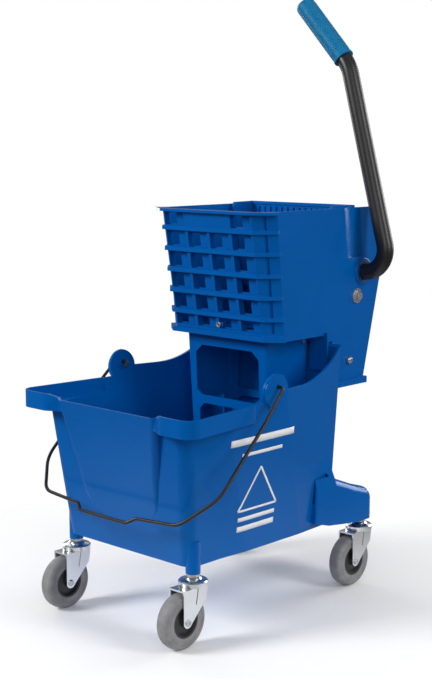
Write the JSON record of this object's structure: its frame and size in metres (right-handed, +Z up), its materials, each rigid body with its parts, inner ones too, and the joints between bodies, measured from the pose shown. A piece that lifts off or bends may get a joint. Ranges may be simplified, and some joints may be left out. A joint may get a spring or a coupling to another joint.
{
  "type": "mop bucket with side press wringer",
  "caption": "Moulded mop bucket on swivel casters with a wire bail and a lift-off side-press wringer worked by a bent tube handle",
  "frame": {"origin": "on the floor, under the middle of the whole object's bounding box", "axes": "+Z up; +X towards the handle side; -Y towards the pouring end; +Y towards the wringer end"},
  "size_m": [0.361, 0.496, 0.9104],
  "materials": {
    "blue_plastic": "gloss blue moulded polypropylene",
    "nylon_blue": "dark blue nylon",
    "grip_vinyl": "satin blue vinyl",
    "black_tube": "satin black powder coat",
    "black_wire": "black coated wire",
    "bright_zinc": "bright zinc plate",
    "zinc_steel": "zinc plated steel",
    "spring_steel": "oiled spring steel",
    "nylon": "natural nylon",
    "hub_plastic": "black moulded plastic",
    "grey_tyre": "grey non-marking rubber"
  },
  "bodies": {
    "bucket": {"bucket_shell": "blue_plastic", "caster_stem_front_left": "zinc_steel", "caster_stem_front_right": "zinc_steel", "caster_stem_rear_left": "zinc_steel", "caster_stem_rear_right": "zinc_steel"},
    "bail": {"bail_wire": "black_wire"},
    "swivel_front_left": {"caster_cap_front_left": "bright_zinc", "caster_fork_front_left": "bright_zinc", "caster_axle_front_left": "zinc_steel"},
    "wheel_front_left": {"caster_hub_front_left": "hub_plastic", "caster_tyre_front_left": "grey_tyre"},
    "swivel_front_right": {"caster_cap_front_right": "bright_zinc", "caster_fork_front_right": "bright_zinc", "caster_axle_front_right": "zinc_steel"},
    "wheel_front_right": {"caster_hub_front_right": "hub_plastic", "caster_tyre_front_right": "grey_tyre"},
    "swivel_rear_left": {"caster_cap_rear_left": "bright_zinc", "caster_fork_rear_left": "bright_zinc", "caster_axle_rear_left": "zinc_steel"},
    "wheel_rear_left": {"caster_hub_rear_left": "hub_plastic", "caster_tyre_rear_left": "grey_tyre"},
    "swivel_rear_right": {"caster_cap_rear_right": "bright_zinc", "caster_fork_rear_right": "bright_zinc", "caster_axle_rear_right": "zinc_steel"},
    "wheel_rear_right": {"caster_hub_rear_right": "hub_plastic", "caster_tyre_rear_right": "grey_tyre"},
    "wringer": {"wringer_housing": "blue_plastic", "lower_frame": "blue_plastic", "rear_cover": "blue_plastic", "rear_cover_screws": "zinc_steel", "frame_screws": "zinc_steel", "hinge_rod": "zinc_steel", "hinge_rod_nuts": "zinc_steel", "anchor_bolts": "zinc_steel", "anchor_washers": "zinc_steel", "anchor_nuts": "zinc_steel", "bushing_left": "nylon_blue", "bushing_right": "nylon_blue", "return_spring_left": "spring_steel", "return_spring_right": "spring_steel"},
    "handle": {"handle_tube": "black_tube", "handle_grip": "grip_vinyl", "tube_end_cap": "hub_plastic", "cam_pins": "zinc_steel", "press_cam_left": "nylon", "press_cam_right": "nylon"},
    "plate": {"press_plate": "blue_plastic", "wear_strips": "zinc_steel"}
  },
  "joints": [
    {"name": "bail_swing", "type": "hinge", "parent": "bucket", "child": "bail", "pos_m": [0, -0.0535, 0.35], "axis": [-1, 0, 0], "range_deg": [-7, 132]},
    {"name": "swivel_front_left", "type": "hinge", "parent": "bucket", "child": "swivel_front_left", "pos_m": [-0.122, -0.1835, 0.09], "axis": [0, 0, 1], "continuous": true},
    {"name": "wheel_front_left", "type": "hinge", "parent": "swivel_front_left", "child": "wheel_front_left", "pos_m": [-0.122, -0.2075, 0.04], "axis": [1, 0, 0], "continuous": true},
    {"name": "swivel_front_right", "type": "hinge", "parent": "bucket", "child": "swivel_front_right", "pos_m": [0.122, -0.1835, 0.09], "axis": [0, 0, 1], "continuous": true},
    {"name": "wheel_front_right", "type": "hinge", "parent": "swivel_front_right", "child": "wheel_front_right", "pos_m": [0.122, -0.2075, 0.04], "axis": [1, 0, 0], "continuous": true},
    {"name": "swivel_rear_left", "type": "hinge", "parent": "bucket", "child": "swivel_rear_left", "pos_m": [-0.122, 0.1905, 0.09], "axis": [0, 0, 1], "continuous": true},
    {"name": "wheel_rear_left", "type": "hinge", "parent": "swivel_rear_left", "child": "wheel_rear_left", "pos_m": [-0.122, 0.1665, 0.04], "axis": [1, 0, 0], "continuous": true},
    {"name": "swivel_rear_right", "type": "hinge", "parent": "bucket", "child": "swivel_rear_right", "pos_m": [0.122, 0.1905, 0.09], "axis": [0, 0, 1], "continuous": true},
    {"name": "wheel_rear_right", "type": "hinge", "parent": "swivel_rear_right", "child": "wheel_rear_right", "pos_m": [0.122, 0.1665, 0.04], "axis": [1, 0, 0], "continuous": true},
    {"name": "wringer_lift", "type": "slide", "parent": "bucket", "child": "wringer", "axis": [0, 0, 1], "range_m": [0, 0.12]},
    {"name": "handle_pull", "type": "hinge", "parent": "wringer", "child": "handle", "pos_m": [0, 0.2045, 0.491], "axis": [-1, 0, 0], "range_deg": [0, 60], "stiffness_Nm_per_rad": 3.7, "springref_deg": -17.19},
    {"name": "plate_press", "type": "hinge", "parent": "wringer", "child": "plate", "pos_m": [0, 0.1705, 0.356], "axis": [1, 0, 0], "range_deg": [0, 22.9]}
  ],
  "couplings": [
    {"joint": "plate_press", "follows": "handle_pull", "ratio": 0.38}
  ]
}
